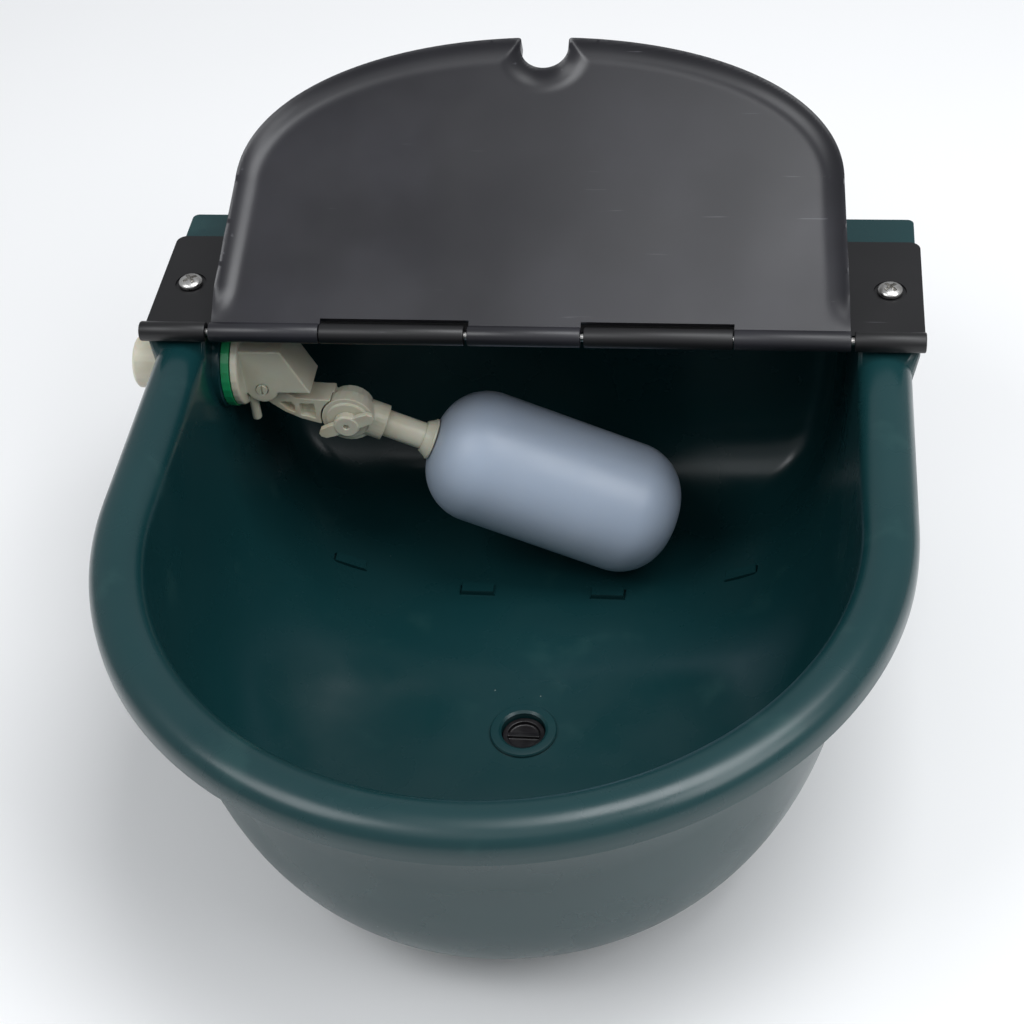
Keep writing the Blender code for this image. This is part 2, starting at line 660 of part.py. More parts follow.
def make_valve_body(root):
    """Inlet stub, flange, nozzle and hood in one moulding, turned about the inlet axis."""
    flange_out, flange_in = -FLANGE_X[0], -FLANGE_X[1]
    end = -STUB_END_X
    loop = [(1.3 * MM, -NOZZLE_LIP_X), (1.9 * MM, -NOZZLE_LIP_X), (NOZZLE_R, -NOZZLE_LIP_X + 0.8 * MM)]
    loop += [(NOZZLE_R, flange_in), (FLANGE_R - 0.6 * MM, flange_in), (FLANGE_R, flange_in + 0.6 * MM)]
    loop += [(FLANGE_R, flange_out), (STUB_R, flange_out), (STUB_R, end - 1.2 * MM), (STUB_R - 1.2 * MM, end)]
    loop += [(7.2 * MM, end), (6.6 * MM, end - 0.8 * MM), (6.6 * MM, flange_out + 6 * MM)]
    loop += [(1.3 * MM, flange_out + 4 * MM)]
    inlet = along_x(0.0, INLET_Y, INLET_Z)
    body = add_object("valve_body", turned(loop, 28, inlet), CREAM, root)
    x0 = FLANGE_X[1] - 0.5 * MM
    box = [(x0, HOOD_TOP), (HOOD_END_TOP_X, HOOD_TOP), (HOOD_END_BOTTOM_X, HOOD_BOTTOM), (x0, HOOD_BOTTOM)]
    low, high = INLET_Y - HOOD_HALF, INLET_Y + HOOD_HALF
    combine(body, "UNION", [prism(box, low, high)])
    boss = along_y(PIVOT.x, PIVOT.z)
    combine(body, "UNION", [rod(PIVOT_BOSS_R, low, high, boss)])
    wall = HOOD_WALL
    inner_x = FLANGE_X[1]
    room = [(inner_x, HOOD_TOP - wall), (HOOD_END_TOP_X - wall * 0.75, HOOD_TOP - wall)]
    room += [(HOOD_END_BOTTOM_X - wall * 1.2, HOOD_BOTTOM), (HOOD_END_BOTTOM_X - wall * 1.2, -50 * MM)]
    room += [(inner_x, -50 * MM)]
    cavity = prism(room, low + wall, high - wall)
    combine(body, "DIFFERENCE", [cavity])
    combine(body, "DIFFERENCE", [rod(PIVOT_PIN_R + GAP, 0.0, 30 * MM, boss, 20)])
    loop = [(1.3 * MM, -NOZZLE_LIP_X), (1.9 * MM, -NOZZLE_LIP_X), (NOZZLE_R, -NOZZLE_LIP_X + 0.8 * MM)]
    loop += [(NOZZLE_R, flange_in + 1 * MM), (1.3 * MM, flange_in + 1 * MM)]
    combine(body, "UNION", [turned(loop, 28, inlet)])
    peg = Matrix.Translation((PEG.x, PEG.y, 0.0))
    combine(body, "UNION", [rod(PEG_R, PEG.z, -39.0 * MM, peg, 16)])


def make_nut(name, root, span, corner_r, bore, place):
    """A hexagon nut along local Z, with a round hole."""
    low, high = span
    nut = add_object(name, rod(corner_r, low, high, place, 6), CREAM, root)
    combine(nut, "DIFFERENCE", [rod(bore, low - 5 * MM, high + 5 * MM, place, 28)])


def make_inlet_fittings(root):
    inlet = along_x(0.0, INLET_Y, INLET_Z)
    bore = STUB_R + GAP
    green = [(bore, -WASHER_X[1]), (WASHER_R, -WASHER_X[1]), (WASHER_R, -WASHER_X[0]), (bore, -WASHER_X[0])]
    add_object("inlet_washer_inner", turned(green, 28, inlet), WASHER_GREEN, root)
    start = -OUTER_SEAT_X + GAP
    end = start + OUTER_WASHER_THICK
    outer = [(bore, start), (OUTER_WASHER_R, start), (OUTER_WASHER_R, end), (bore, end)]
    add_object("inlet_washer_outer", turned(outer, 28, inlet), RUBBER, root)
    flats_up = inlet @ Matrix.Rotation(math.radians(30), 4, "Z")
    make_nut("lock_nut", root, (end + GAP, end + GAP + NUT_THICK), NUT_CORNER_R, bore, flats_up)
    depth = -FLANGE_X[0] + 7 * MM
    shoulder = depth + STRAINER_LENGTH
    inside = STRAINER_R - STRAINER_WALL
    cup = [(0.0, depth), (STRAINER_R, depth), (STRAINER_R, shoulder), (STRAINER_LIP_R, shoulder + 0.4 * MM)]
    cup += [(STRAINER_LIP_R, shoulder + 2 * MM), (inside, shoulder + 2 * MM), (inside, depth + STRAINER_WALL)]
    cup += [(0.0, depth + STRAINER_WALL)]
    add_object("inlet_strainer", turned(cup, 24, inlet), CREAM, root)


def make_seal(root):
    """The cup that slides on the nozzle, with the rubber disc that closes it."""
    inlet = along_x(0.0, INLET_Y, INLET_Z)
    bore = NOZZLE_R + GAP
    cup = [(0.0, CUP_TIP), (0.7 * MM, CUP_TIP), (1.4 * MM, CUP_BACK), (CUP_R, CUP_BACK), (CUP_R, CUP_LIP)]
    cup += [(bore, CUP_LIP), (bore, CUP_FACE), (0.0, CUP_FACE)]
    add_object("seal_cup", turned(cup, 24, inlet), CREAM, root)
    low, high = CUP_FACE + GAP, CUP_FACE + GAP + SEAL_THICK
    disc = [(0.0, low), (NOZZLE_R, low), (NOZZLE_R, high), (0.0, high)]
    add_object("seal_disc", turned(disc, 24, inlet), RUBBER, root)


def make_pivot_pin(root):
    low, high = INLET_Y - HOOD_HALF - 0.4 * MM, INLET_Y + HOOD_HALF + 0.3 * MM
    pin = add_object("pivot_pin", rod(PIVOT_PIN_R, low, high, along_y(PIVOT.x, PIVOT.z), 24), CREAM, root)
    slot = block((PIVOT.x - 0.4 * MM, low - 1 * MM, PIVOT.z - 4 * MM),
                 (PIVOT.x + 0.4 * MM, low + 0.8 * MM, PIVOT.z + 4 * MM))
    combine(pin, "DIFFERENCE", [slot])


def in_metres(points):
    return [(x * MM, z * MM) for x, z in points]


def lever_outline():
    """Side outline of the lever, from the nose down the front to the knuckle and back under the hub."""
    outline = in_metres(LEVER_NOSE + LEVER_UPPER + LEVER_LOWER)
    return outline + arc((PIVOT.x, PIVOT.z), LEVER_HUB_R, 225, 60, 10)


def make_lever(pivot):
    """Built in the product's frame, then placed under the pivot's empty."""
    low, high = INLET_Y - LEVER_HALF, INLET_Y + LEVER_HALF
    shift = Matrix.Translation(-PIVOT)
    lever = add_object("lever", prism(lever_outline(), low, high, shift), CREAM, pivot)
    knuckle = shift @ along_y(KNUCKLE.x, KNUCKLE.z)
    combine(lever, "UNION", [rod(TONGUE_R, DISC_BACK_Y - 1 * MM, high - 0.1 * MM, knuckle)])
    cuts = [rod(DISC_R + 0.6 * MM, 0.0, DISC_BACK_Y + GAP, knuckle, 28)]
    cuts.append(rod(KNUCKLE_BORE_R, 0.0, 30 * MM, knuckle, 16))
    cuts.append(rod(PIVOT_PIN_R + GAP, 0.0, 30 * MM, shift @ along_y(PIVOT.x, PIVOT.z), 20))
    fork_low, fork_high = INLET_Y - FORK_HALF, INLET_Y + FORK_HALF
    cuts.append(block((-114 * MM, fork_low, -37.6 * MM), (NOSE_FACE_X, fork_high, -20 * MM), shift))
    for pocket in (POCKET_NEAR_HUB, POCKET_NEAR_KNUCKLE):
        cuts.append(prism(in_metres(pocket), low - 5 * MM, low + POCKET_DEPTH, shift))
        cuts.append(prism(in_metres(pocket), high - POCKET_DEPTH, high + 5 * MM, shift))
    for cutter in cuts:
        combine(lever, "DIFFERENCE", [cutter])


def wing_outline(side):
    """One rounded wing of the thumb screw, as an outline round the screw's axis."""
    points = list(WING_HALF) + [(x, -z) for x, z in reversed(WING_HALF)]
    turn = Matrix.Rotation(math.radians(WING_TURN + (180.0 if side < 0 else 0.0)), 2)
    return [tuple(turn @ Vector(point)) for point in in_metres(points)]


def make_wing_screw(knuckle):
    flat = Matrix.Rotation(-math.pi / 2, 4, "X")
    profile = [(0.0, 6.4 * MM), (1.3 * MM, 6.4 * MM), (1.3 * MM, 4.6 * MM), (4.6 * MM, 4.6 * MM)]
    profile += [(5.2 * MM, 5.2 * MM), (5.2 * MM, 8.0 * MM), (KNUCKLE_SCREW_R, 8.0 * MM)]
    profile += [(KNUCKLE_SCREW_R, 25.0 * MM), (0.0, 25.0 * MM)]
    screw = add_object("wing_screw", turned(profile, 28, flat), CREAM, knuckle)
    for side in (-1, 1):
        combine(screw, "UNION", [prism(wing_outline(side), *WING_SPAN)])


def make_knuckle_nut(root):
    place = along_y(KNUCKLE.x, KNUCKLE.z)
    make_nut("knuckle_nut", root, (20.9 * MM, 24.2 * MM), 4.9 * MM, KNUCKLE_SCREW_R + GAP, place)


def make_float_arm(knuckle):
    """Disc and socket, rod, collar and float. The arm's own frame has local Z along the rod."""
    flat = Matrix.Rotation(-math.pi / 2, 4, "X")
    along = Matrix.Translation((0.0, INLET_Y, 0.0)) @ Matrix.Rotation(math.pi / 2 + ARM_ANGLE, 4, "Y")
    disc = [(KNUCKLE_BORE_R, DISC_FRONT_Y - 1.0 * MM), (8.6 * MM, DISC_FRONT_Y - 1.0 * MM)]
    disc += [(8.6 * MM, DISC_FRONT_Y), (DISC_R, DISC_FRONT_Y), (DISC_R, DISC_BACK_Y)]
    disc += [(KNUCKLE_BORE_R, DISC_BACK_Y)]
    piece = add_object("arm_knuckle", turned(disc, 28, flat), CREAM, knuckle)
    socket = rod(SOCKET_R, SOCKET_SPAN[0] - 2.5 * MM, SOCKET_SPAN[1], along, 28)
    combine(piece, "UNION", [socket])
    clear = [(0.0, DISC_BACK_Y), (TONGUE_R + GAP, DISC_BACK_Y), (TONGUE_R + GAP, 30 * MM), (0.0, 30 * MM)]
    combine(piece, "DIFFERENCE", [turned(clear, 28, flat)])
    room = [(0.0, 0.0), (8.4 * MM, 0.0), (8.4 * MM, DISC_FRONT_Y - 1.0 * MM), (0.0, DISC_FRONT_Y - 1.0 * MM)]
    combine(piece, "DIFFERENCE", [turned(room, 28, flat)])
    combine(piece, "DIFFERENCE", [rod(ROD_R + GAP, ROD_SPAN[0] - GAP, 30 * MM, along, 28)])
    start, end = ROD_SPAN
    arm = [(0.0, start), (ROD_R, start), (ROD_R, end - 1 * MM), (ROD_R - 1 * MM, end), (0.0, end)]
    add_object("float_rod", turned(arm, 28), CREAM, knuckle, along)
    low, high = CONE_SPAN
    bore = ROD_R + GAP
    cone = [(bore, low), (ROD_R + 0.9 * MM, low), (8.4 * MM, high - 1 * MM), (8.4 * MM, high), (bore, high)]
    add_object("float_collar", turned(cone, 32), CREAM, knuckle, along)
    add_object("float", turned(float_profile(), 28), FLOAT_BLUE, knuckle, along)


def float_profile():
    """Outside from the far end to the neck, then back along the inside: a hollow float, open at its neck."""
    neck = ROD_R + GAP
    outside = float_side(0.0, FLOAT_CORNER)
    inside = float_side(FLOAT_WALL, FLOAT_CORNER - FLOAT_WALL)
    return [(0.0, outside[0][1])] + outside + [(neck, outside[-1][1])] + \
        [(neck, inside[-1][1])] + inside[::-1] + [(0.0, inside[0][1])]


def float_side(inset, corner):
    radius = FLOAT_R - inset
    far = FLOAT_START + FLOAT_LENGTH - inset
    near = FLOAT_START + inset
    side = arc((radius - corner, far - corner), corner, 90, 0, 5)
    side += arc((radius - corner, near + corner), corner, 0, -90, 5)
    return side


def build():
    clear_scene()
    root = add_empty("product", None, Matrix.Translation(-ORIGIN))
    make_bowl(root)
    make_cover_plate(root)
    make_screws(root)
    make_hinge_pin(root)
    lid_hinge = add_empty("lid_hinge", root, Matrix.Rotation(-LID_LEAN, 4, "X"))
    make_lid(lid_hinge)
    make_drain(root)
    make_valve_body(root)
    make_inlet_fittings(root)
    make_seal(root)
    make_pivot_pin(root)
    make_lever(add_empty("lever_pivot", root, Matrix.Translation(PIVOT)))
    knuckle = add_empty("knuckle", root, Matrix.Translation(KNUCKLE))
    make_wing_screw(knuckle)
    make_float_arm(knuckle)
    make_knuckle_nut(root)


build()
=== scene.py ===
import math

import bmesh
import bpy
import numpy as np
from mathutils import Matrix, Vector


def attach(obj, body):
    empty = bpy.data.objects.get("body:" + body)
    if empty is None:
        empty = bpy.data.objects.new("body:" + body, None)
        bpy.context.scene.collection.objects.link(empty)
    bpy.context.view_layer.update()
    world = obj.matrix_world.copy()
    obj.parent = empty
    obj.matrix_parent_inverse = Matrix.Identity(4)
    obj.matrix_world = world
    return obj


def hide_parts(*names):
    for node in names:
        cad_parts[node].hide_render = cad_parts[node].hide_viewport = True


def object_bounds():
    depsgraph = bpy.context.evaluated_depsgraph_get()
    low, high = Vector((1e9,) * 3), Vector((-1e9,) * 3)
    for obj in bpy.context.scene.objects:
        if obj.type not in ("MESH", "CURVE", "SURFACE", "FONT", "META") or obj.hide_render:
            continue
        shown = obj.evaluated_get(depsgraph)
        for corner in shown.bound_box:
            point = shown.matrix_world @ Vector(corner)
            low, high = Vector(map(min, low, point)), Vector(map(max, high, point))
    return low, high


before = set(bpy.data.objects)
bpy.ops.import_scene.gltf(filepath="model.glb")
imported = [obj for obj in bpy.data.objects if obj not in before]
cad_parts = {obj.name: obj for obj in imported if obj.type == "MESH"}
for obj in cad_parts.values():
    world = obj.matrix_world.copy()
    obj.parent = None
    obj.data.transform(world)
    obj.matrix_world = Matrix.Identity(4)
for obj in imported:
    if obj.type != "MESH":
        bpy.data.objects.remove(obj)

MM = 0.001
HINGE = Matrix.Translation((0.0, -0.081, 0.040))
ALONG_X = Matrix.Rotation(math.pi / 2, 4, "Y")
ALONG_Y = Matrix.Rotation(-math.pi / 2, 4, "X")
CAD_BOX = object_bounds()

# Bowl
INNER_HALF, FRONT_CENTRE_Y, BACK_Y, BACK_CORNER = 122.9, -84.6, 72.0, 14.0
WALL, RIM_HALF, DECK_HALF, DECK_BACK_Y, DECK_CORNER = 3.2, 142.6, 145.3, 81.0, 2.5
DECK_TOP, DECK_THICK, CREASE_Z, CROWN, LIP_Z, LIP_THICK = -4.1, 4.0, -14.4, 9.6, -17.5, 2.8
FLOOR_Z, FLOOR_THICK, FOOT_Z, FOOT_OUTER, FOOT_INNER = -130.0, 3.4, -142.5, 0.52, 0.48
CENTRE = np.array((0.0, -50.0))
FULL_FRONT, FULL_SIDE, FULL_BACK, LEAN = 6.5, 3.1, 7.0, 0.05
DRAIN_Y, DRAIN_R = -81.9, 8.65
TABS = ((27.0, -6.9, 0.0), (81.5, 1.0, 23.0))
SCREW_X, SCREW_Y = 134.9, 31.8
DRAIN = Matrix.Translation((0.0, DRAIN_Y * MM, 0.0))
TAB_HALF, TAB_DEPTH_HALF, TAB_TOP, GROOVE_FLOOR = 6.7, 2.3, 1.15, -1.4
WALL_HOLE_X, WALL_HOLE_Z, WALL_HOLE_R = 60.0, -28.0, 3.5

# Hinge, cover plate and lid
HINGE_HALF, HINGE_R = 147.0, 3.8
SPLITS = (21.8, 77.5, 120.7)
SPLIT_GAP = 0.2
PIN_SHOWS = 0.8
PIN_BORE_R = 1.8
PLATE_BACK_Y, PLATE_BOTTOM, PLATE_TOP, SCREW_SINK = 62.4, -3.8, -1.3, 0.6
LID_LEAN = math.radians(66.25)
LID_LENGTH, LID_HALF, LID_STRAIGHT, LID_NARROWING, LID_ROUNDNESS = 129.0, 119.8, 64.0, 0.046, 2.1
LID_BACK, LID_SKIRT, LID_FILLET, LID_TIP = 1.2, 5.4, 9.5, 0.5
NOTCH_HALF, NOTCH_DEPTH = 9.4, 14.2

# Float valve
INLET_Y, INLET_Z = 15.0, -27.5
INLET = Matrix.Translation((0.0, INLET_Y * MM, INLET_Z * MM)) @ Matrix.Rotation(-math.pi / 2, 4, "Y")
KNUCKLE = (-74.7, -51.3)
ARM_ANGLE = math.radians(24.7)
ROD_R = 5.45
FLOAT_START, FLOAT_LENGTH, FLOAT_R, FLOAT_CORNER = 35.6, 104.0, 27.0, 21.0
ARM = HINGE @ Matrix.Translation((KNUCKLE[0] * MM, INLET_Y * MM, KNUCKLE[1] * MM)) @ \
    Matrix.Rotation(math.pi / 2 + ARM_ANGLE, 4, "Y")


# ---------------------------------------------------------------- materials

class Surface:
    """A Principled material, with helpers that add procedural nodes in the object's own coordinates."""

    def __init__(self, name, colour, roughness, **sockets):
        self.material = bpy.data.materials.new(name)
        self.material.use_nodes = True
        self.nodes = self.material.node_tree.nodes
        self.links = self.material.node_tree.links
        self.shader = self.nodes["Principled BSDF"]
        self.colour = colour
        self.shader.inputs["Base Color"].default_value = (*colour, 1.0)
        self.shader.inputs["Roughness"].default_value = roughness
        for key, value in sockets.items():
            self.shader.inputs[key.replace("_", " ")].default_value = value
        self.coords = self.nodes.new("ShaderNodeTexCoord").outputs["Object"]
        self.colour_out = None
        self.height_out = None

    def noise(self, scale, detail=4.0, stretch=(1.0, 1.0, 1.0), turn=(0.0, 0.0, 0.0)):
        place = self.nodes.new("ShaderNodeMapping")
        place.inputs["Scale"].default_value = stretch
        place.inputs["Rotation"].default_value = turn
        self.links.new(self.coords, place.inputs["Vector"])
        made = self.nodes.new("ShaderNodeTexNoise")
        made.inputs["Scale"].default_value = scale
        made.inputs["Detail"].default_value = detail
        self.links.new(place.outputs["Vector"], made.inputs["Vector"])
        return made.outputs["Fac"]

    def specks(self, scale, size):
        """1 in small round spots scattered over the surface, 0 elsewhere."""
        cells = self.nodes.new("ShaderNodeTexVoronoi")
        cells.inputs["Scale"].default_value = scale
        self.links.new(self.coords, cells.inputs["Vector"])
        return self.ramp(cells.outputs["Distance"], size, size * 0.6)

    def ramp(self, value, low, high, start=0.0, end=1.0):
        made = self.nodes.new("ShaderNodeMapRange")
        made.interpolation_type = "SMOOTHSTEP"
        made.inputs["From Min"].default_value = low
        made.inputs["From Max"].default_value = high
        made.inputs["To Min"].default_value = start
        made.inputs["To Max"].default_value = end
        self.links.new(value, made.inputs["Value"])
        return made.outputs["Result"]

    def times(self, a, b):
        made = self.nodes.new("ShaderNodeMath")
        made.operation = "MULTIPLY"
        self.links.new(a, made.inputs[0])
        if isinstance(b, float):
            made.inputs[1].default_value = b
        else:
            self.links.new(b, made.inputs[1])
        return made.outputs[0]

    def tint(self, share, colour):
        """Mixes a second colour in where share is high."""
        mix = self.nodes.new("ShaderNodeMix")
        mix.data_type = "RGBA"
        self.links.new(share, mix.inputs["Factor"])
        if self.colour_out is None:
            mix.inputs["A"].default_value = (*self.colour, 1.0)
        else:
            self.links.new(self.colour_out, mix.inputs["A"])
        mix.inputs["B"].default_value = (*colour, 1.0)
        self.colour_out = mix.outputs["Result"]
        self.links.new(self.colour_out, self.shader.inputs["Base Color"])

    def rough(self, value, low, high):
        self.links.new(self.ramp(value, 0.3, 0.7, low, high), self.shader.inputs["Roughness"])

    def bump(self, value, distance, strength=1.0):
        made = self.nodes.new("ShaderNodeBump")
        made.inputs["Distance"].default_value = distance
        made.inputs["Strength"].default_value = strength
        self.links.new(value, made.inputs["Height"])
        if self.height_out is not None:
            self.links.new(self.height_out, made.inputs["Normal"])
        self.height_out = made.outputs["Normal"]
        self.links.new(self.height_out, self.shader.inputs["Normal"])


def green_plastic():
    made = Surface("bowl_green", (0.0050, 0.034, 0.038), 0.29, Specular_IOR_Level=0.5)
    made.tint(made.ramp(made.noise(9.0), 0.35, 0.75), (0.0064, 0.040, 0.044))
    made.tint(made.times(made.ramp(made.noise(38.0, 6.0), 0.60, 0.74), 0.20), (0.030, 0.085, 0.082))
    dust = made.times(made.specks(150.0, 0.035), made.ramp(made.noise(24.0), 0.62, 0.66))
    made.tint(dust, (0.42, 0.46, 0.42))
    made.rough(made.noise(22.0, 6.0), 0.20, 0.33)
    made.bump(made.noise(1400.0, 2.0), 0.00002, 0.35)
    made.bump(made.noise(14.0, 2.0), 0.0004, 0.30)
    return made.material


def black_plastic(name, colour, low, high):
    made = Surface(name, colour, low, Specular_IOR_Level=0.5)
    made.tint(made.ramp(made.noise(16.0, 5.0), 0.40, 0.75), tuple(c * 1.7 for c in colour))
    scratches = made.ramp(made.noise(46.0, 3.0, (0.5, 9.0, 9.0), (0.0, 0.0, 0.12)), 0.70, 0.76)
    made.tint(made.times(scratches, 0.30), (0.16, 0.16, 0.18))
    dust = made.times(made.specks(130.0, 0.030), made.ramp(made.noise(30.0), 0.63, 0.66))
    made.tint(dust, (0.45, 0.45, 0.46))
    made.rough(made.noise(12.0, 6.0), low, high)
    made.bump(made.noise(1700.0, 2.0), 0.00002, 0.40)
    made.bump(made.noise(20.0, 2.0), 0.0003, 0.35)
    return made.material


def cream_plastic():
    made = Surface("valve_cream", (0.66, 0.64, 0.52), 0.34, Subsurface_Weight=0.25, Subsurface_Scale=0.004)
    made.tint(made.ramp(made.noise(55.0, 4.0), 0.35, 0.75), (0.58, 0.545, 0.42))
    made.tint(made.times(made.ramp(made.noise(30.0, 3.0), 0.58, 0.70), 0.35), (0.50, 0.40, 0.24))
    made.rough(made.noise(60.0, 5.0), 0.28, 0.42)
    made.bump(made.noise(1500.0, 2.0), 0.00002, 0.30)
    return made.material


def milky_plastic():
    made = Surface("float_white", (0.40, 0.47, 0.575), 0.36, Subsurface_Weight=0.45, Subsurface_Scale=0.012)
    made.shader.inputs["Subsurface Radius"].default_value = (0.8, 0.9, 1.0)
    made.tint(made.ramp(made.noise(18.0, 4.0), 0.40, 0.80), (0.46, 0.53, 0.63))
    made.rough(made.noise(34.0, 5.0), 0.32, 0.44)
    made.bump(made.noise(26.0, 2.0), 0.0003, 0.35)
    made.bump(made.noise(900.0, 2.0), 0.00002, 0.30)
    return made.material


def bright_steel():
    made = Surface("steel", (0.66, 0.65, 0.63), 0.22, Metallic=1.0)
    made.tint(made.ramp(made.noise(300.0, 3.0), 0.50, 0.72), (0.46, 0.44, 0.42))
    made.rough(made.noise(300.0, 3.0), 0.24, 0.38)
    made.bump(made.noise(600.0, 2.0), 0.00002, 0.25)
    return made.material


def rubbery(name, colour, other, roughness):
    made = Surface(name, colour, roughness)
    made.tint(made.ramp(made.noise(120.0, 5.0), 0.40, 0.72), other)
    made.rough(made.noise(160.0, 4.0), roughness - 0.08, roughness + 0.08)
    made.bump(made.noise(700.0, 4.0), 0.00008, 0.5)
    return made.material


def green_washer():
    made = Surface("washer_green", (0.012, 0.36, 0.13), 0.34, Subsurface_Weight=0.3, Subsurface_Scale=0.003)
    made.tint(made.ramp(made.noise(90.0, 4.0), 0.40, 0.72), (0.02, 0.26, 0.10))
    made.rough(made.noise(90.0, 4.0), 0.28, 0.42)
    made.bump(made.noise(800.0, 3.0), 0.00005, 0.4)
    return made.material


GREEN = green_plastic()
LID_BLACK = black_plastic("lid_black", (0.0110, 0.0108, 0.0140), 0.30, 0.44)
PLATE_BLACK = black_plastic("plate_black", (0.0050, 0.0048, 0.0055), 0.36, 0.48)
CREAM = cream_plastic()
MILKY = milky_plastic()
STEEL = bright_steel()
RUBBER = rubbery("rubber_black", (0.012, 0.011, 0.012), (0.022, 0.020, 0.021), 0.62)
PLUG = rubbery("plug_dark", (0.0028, 0.0024, 0.0032), (0.0060, 0.0045, 0.0058), 0.40)
WASHER = green_washer()


# ---------------------------------------------------------------- mesh helpers

def face_out(bm):
    bmesh.ops.recalc_face_normals(bm, faces=bm.faces)
    if bm.calc_volume(signed=True) < 0:
        bmesh.ops.reverse_faces(bm, faces=bm.faces)


def new_object(name, bm):
    face_out(bm)
    mesh = bpy.data.meshes.new(name)
    bm.to_mesh(mesh)
    bm.free()
    made = bpy.data.objects.new(name, mesh)
    bpy.context.scene.collection.objects.link(made)
    return made


def settle(made):
    """Applies the object's modifiers to its mesh."""
    made.data = bpy.data.meshes.new_from_object(made.evaluated_get(bpy.context.evaluated_depsgraph_get()))
    made.modifiers.clear()


def piece(made, body, slot, material, *nodes, angle=40):
    """Gives a finished mesh its material, its body and the CAD nodes that it stands for."""
    made.data.materials.clear()
    made.data.materials.append(material)
    made.data.shade_smooth()
    if angle:
        made.data.set_sharp_from_angle(angle=math.radians(angle))
    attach(made, body)
    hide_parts(*nodes)


def bevelled(made, width, angle=35):
    bevel = made.modifiers.new("bevel", "BEVEL")
    bevel.width = width * MM
    bevel.segments = 2
    bevel.limit_method = "ANGLE"
    bevel.angle_limit = math.radians(angle)
    bevel.use_clamp_overlap = True
    settle(made)


def bridge(bm, low, high):
    if len(low) == 1:
        low, high = high, low
    count = len(low)
    for i in range(count):
        j = (i + 1) % count
        if len(high) == 1:
            bm.faces.new((low[i], low[j], high[0]))
        else:
            bm.faces.new((low[i], low[j], high[j], high[i]))


def turned(profile, segments=64, place=None):
    """A body turned about local Z from (radius, height) points in mm, from axis to axis or a closed loop."""
    bm = bmesh.new()
    rings = []
    for radius, height in profile:
        if radius == 0.0:
            rings.append([bm.verts.new((0.0, 0.0, height * MM))])
            continue
        ring = []
        for i in range(segments):
            t = 2 * math.pi * i / segments
            ring.append(bm.verts.new((radius * MM * math.cos(t), radius * MM * math.sin(t), height * MM)))
        rings.append(ring)
    pairs = list(zip(rings, rings[1:]))
    if len(rings[0]) > 1:
        pairs.append((rings[-1], rings[0]))
    for low, high in pairs:
        bridge(bm, low, high)
    if place is not None:
        bm.transform(place)
    return bm


def prism(outline, low, high, place=None):
    """A closed outline of (x, z) points in mm, extruded along Y."""
    bm = bmesh.new()
    front = [bm.verts.new((x * MM, low * MM, z * MM)) for x, z in outline]
    back = [bm.verts.new((x * MM, high * MM, z * MM)) for x, z in outline]
    bm.faces.new(front)
    bm.faces.new(back[::-1])
    bridge(bm, front, back)
    if place is not None:
        bm.transform(place)
    return bm


def block(low, high, place=None):
    outline = [(low[0], low[2]), (high[0], low[2]), (high[0], high[2]), (low[0], high[2])]
    return prism(outline, low[1], high[1], place)


def rod(radius, low, high, place, segments=48):
    return turned([(0.0, low), (radius, low), (radius, high), (0.0, high)], segments, place)


def combine(target, operation, tools):
    """Joins the tools to the target, cuts them out or keeps only the overlap, one after another."""
    for tool in tools:
        helper = new_object("helper", tool)
        cut = target.modifiers.new(operation.lower(), "BOOLEAN")
        cut.operation = operation
        cut.object = helper
        settle(target)
        bpy.data.objects.remove(helper, do_unlink=True)


def moulded(name, node, voxel, rounds):
    """The CAD node's own shape with small moulded edge radii: remeshed finely, then smoothed."""
    bm = bmesh.new()
    bm.from_mesh(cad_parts[node].data)
    bmesh.ops.remove_doubles(bm, verts=bm.verts, dist=1e-7)
    made = new_object(name, bm)
    remesh = made.modifiers.new("remesh", "REMESH")
    remesh.mode = "VOXEL"
    remesh.voxel_size = voxel * MM
    soft = made.modifiers.new("smooth", "SMOOTH")
    soft.factor = 0.5
    soft.iterations = rounds
    settle(made)
    return made


def arc(centre, radius, start, end, steps):
    turn = [math.radians(start + (end - start) * i / steps) for i in range(steps + 1)]
    return [(centre[0] + radius * math.cos(t), centre[1] + radius * math.sin(t)) for t in turn]


# ---------------------------------------------------------------- bowl

def plan_curve(rear_half, front_half, back_y, corner):
    """The bowl's U-shaped outline seen from above, finely divided. It has the same number of points at every
    size, so that rows of different outlines can be bridged."""
    right = [((rear_half - corner) * i / 12, back_y) for i in range(12)]
    for i in range(9):
        angle = math.pi / 2 * i / 8
        x = rear_half - corner + corner * math.sin(angle)
        right.append((x, back_y - corner + corner * math.cos(angle)))
    behind = (54, 46, 38, 30, 22, 14, 7, 3.2, 1.2)
    before = (-3.0, -5, -9, -16, -24, -34, -44, -54, -64, -74, -80, FRONT_CENTRE_Y)
    for y in behind + before:
        right.append((rear_half if y > 0 else front_half, y))
    for i in range(1, 57):
        angle = math.pi / 2 * i / 56
        right.append((front_half * math.cos(angle), FRONT_CENTRE_Y - front_half * math.sin(angle)))
    right[-1] = (0.0, right[-1][1])
    return np.array(right + [(-x, y) for x, y in reversed(right[1:-1])])


